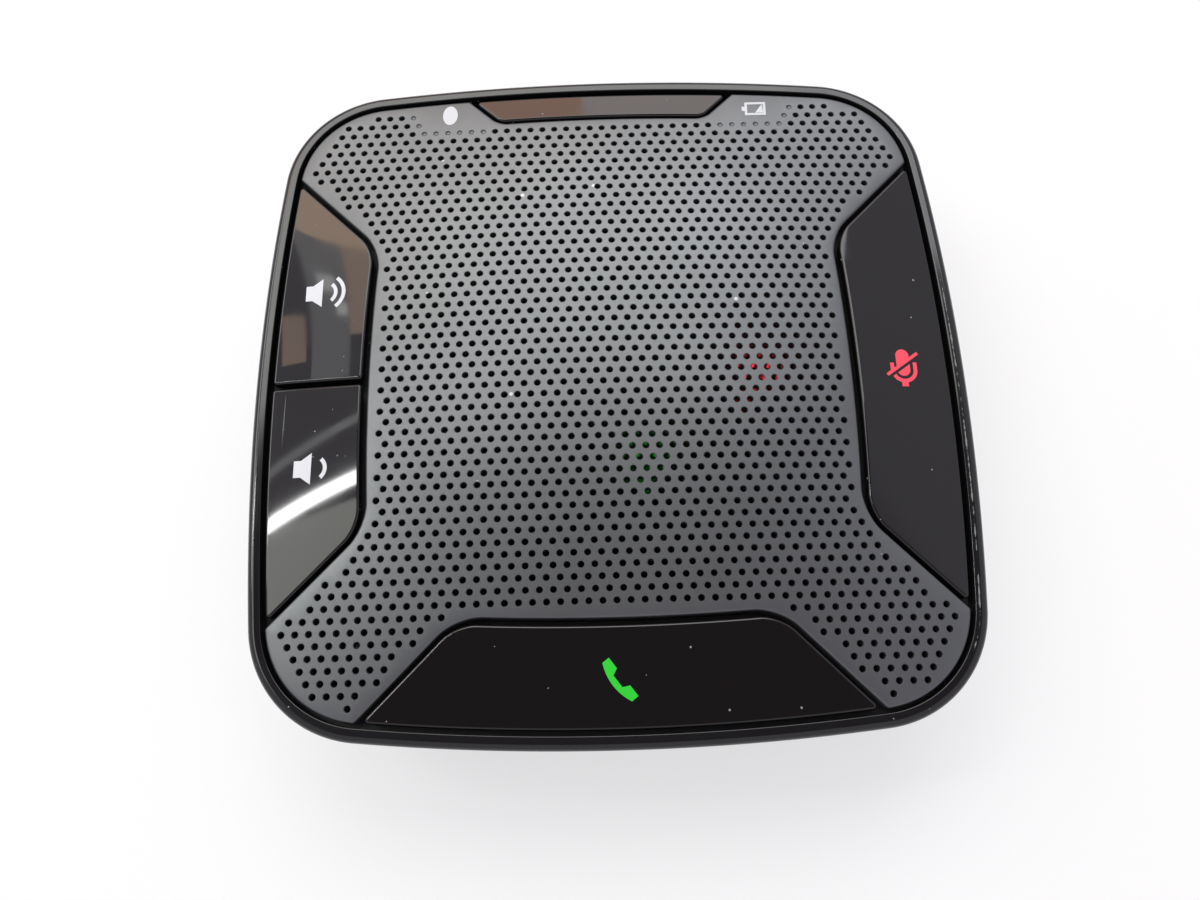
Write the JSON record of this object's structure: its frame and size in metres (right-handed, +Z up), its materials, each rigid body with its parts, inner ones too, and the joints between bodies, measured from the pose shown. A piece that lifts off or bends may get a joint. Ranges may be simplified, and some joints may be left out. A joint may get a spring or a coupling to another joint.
{
  "type": "conference speakerphone",
  "caption": "Square crowned desk speakerphone: perforated grille, volume, mute and call keys set round its edge, rounded bezel and bowl-shaped base on a rubber foot.",
  "frame": {"origin": "centre of the footprint, on the table under the rubber foot", "axes": "+Z up out of the grille; +Y towards the name plate at the back; +X towards the mute key"},
  "size_m": [0.11, 0.11, 0.03],
  "materials": {
    "housing_black": "fine-textured black ABS",
    "foot_rubber": "soft black rubber ring",
    "bezel_gloss": "polished black plastic, worn pale along its outer edge",
    "deck_black": "plain moulded black plastic",
    "grille_grey": "matt dark grey plastic with fine texture",
    "plate_gloss": "polished black plastic, bare",
    "key_gloss": "polished piano-black plastic",
    "mute_red": "translucent red, lit",
    "call_green": "translucent green, lit",
    "white_window": "translucent white",
    "smoked_window": "smoked translucent plastic",
    "clear_guide": "clear acrylic light guide",
    "basket_steel": "black painted pressed steel",
    "plated_steel": "zinc plated steel",
    "ferrite": "sintered ferrite",
    "coil_copper": "copper winding on a paper former",
    "spider_cloth": "resin treated woven cloth",
    "cone_paper": "pressed paper, pale dust cap",
    "surround_rubber": "moulded rubber half roll and foam gasket",
    "board_green": "glass-epoxy board with green resist",
    "switch_black": "black moulded switch body",
    "actuator_white": "white moulded actuator",
    "chip_black": "black epoxy package",
    "shield_steel": "tin plated steel",
    "socket_black": "black tongue with gold contacts",
    "connector_white": "natural nylon",
    "knob_black": "black knob with ribs",
    "battery_foil": "laminated foil pouch",
    "foam_black": "self-adhesive foam",
    "lead_red": "red PVC sleeve",
    "mic_steel": "aluminium capsule can",
    "boot_rubber": "silicone boot",
    "screw_steel": "black zinc plated steel"
  },
  "bodies": {
    "case": {"audio_processor": "chip_black", "battery_cell": "battery_foil", "battery_connector": "connector_white", "battery_lead": "lead_red", "battery_pad": "foam_black", "battery_window": "smoked_window", "bezel": "bezel_gloss", "board_screws": "screw_steel", "call_led": "call_green", "call_light_guide": "clear_guide", "call_switch": "switch_black", "case_screws": "screw_steel", "charger_chip": "chip_black", "cone_surround": "surround_rubber", "inner_deck": "deck_black", "left_microphone": "mic_steel", "lower_housing": "housing_black", "main_board": "board_green", "microphone_boots": "boot_rubber", "mute_led": "mute_red", "mute_light_guide": "clear_guide", "mute_switch": "switch_black", "name_plate": "plate_gloss", "power_switch_body": "switch_black", "radio_module": "shield_steel", "right_microphone": "mic_steel", "rubber_foot": "foot_rubber", "small_components": "chip_black", "socket_shell": "shield_steel", "socket_tongue": "socket_black", "speaker_connector": "connector_white", "speaker_frame": "basket_steel", "speaker_gasket": "surround_rubber", "speaker_grille": "grille_grey", "speaker_lead": "lead_red", "speaker_magnet": "ferrite", "speaker_screws": "screw_steel", "speaker_terminals": "deck_black", "speaker_top_plate": "plated_steel", "speaker_yoke": "plated_steel", "spider": "spider_cloth", "status_leds": "white_window", "status_window": "white_window", "volume_down_switch": "switch_black", "volume_up_switch": "switch_black"},
    "volume_up_button": {"volume_up_key": "key_gloss", "volume_up_actuator": "actuator_white"},
    "volume_down_button": {"volume_down_key": "key_gloss", "volume_down_actuator": "actuator_white"},
    "mute_button": {"mute_key": "key_gloss", "mute_symbol": "mute_red", "mute_actuator": "actuator_white"},
    "call_button": {"call_key": "key_gloss", "call_symbol": "call_green", "call_actuator": "actuator_white"},
    "power_knob": {"power_switch_knob": "knob_black"},
    "diaphragm": {"speaker_cone": "cone_paper", "dust_cap": "cone_paper", "voice_coil": "coil_copper"}
  },
  "joints": [
    {"name": "volume_up_press", "type": "slide", "parent": "case", "child": "volume_up_button", "axis": [0, 0, -1], "range_m": [0, 0.0003], "stiffness_N_per_m": 2000},
    {"name": "volume_down_press", "type": "slide", "parent": "case", "child": "volume_down_button", "axis": [0, 0, -1], "range_m": [0, 0.0003], "stiffness_N_per_m": 2000},
    {"name": "mute_press", "type": "slide", "parent": "case", "child": "mute_button", "axis": [0, 0, -1], "range_m": [0, 0.0003], "stiffness_N_per_m": 2000},
    {"name": "call_press", "type": "slide", "parent": "case", "child": "call_button", "axis": [0, 0, -1], "range_m": [0, 0.0003], "stiffness_N_per_m": 2000},
    {"name": "power_switch_slide", "type": "slide", "parent": "case", "child": "power_knob", "axis": [1, 0, 0], "range_m": [0, 0.003]},
    {"name": "diaphragm_travel", "type": "slide", "parent": "case", "child": "diaphragm", "axis": [0, 0, 1], "range_m": [-0.0008, 0.0008], "stiffness_N_per_m": 2500, "deforming": ["cone_surround", "spider"]}
  ]
}
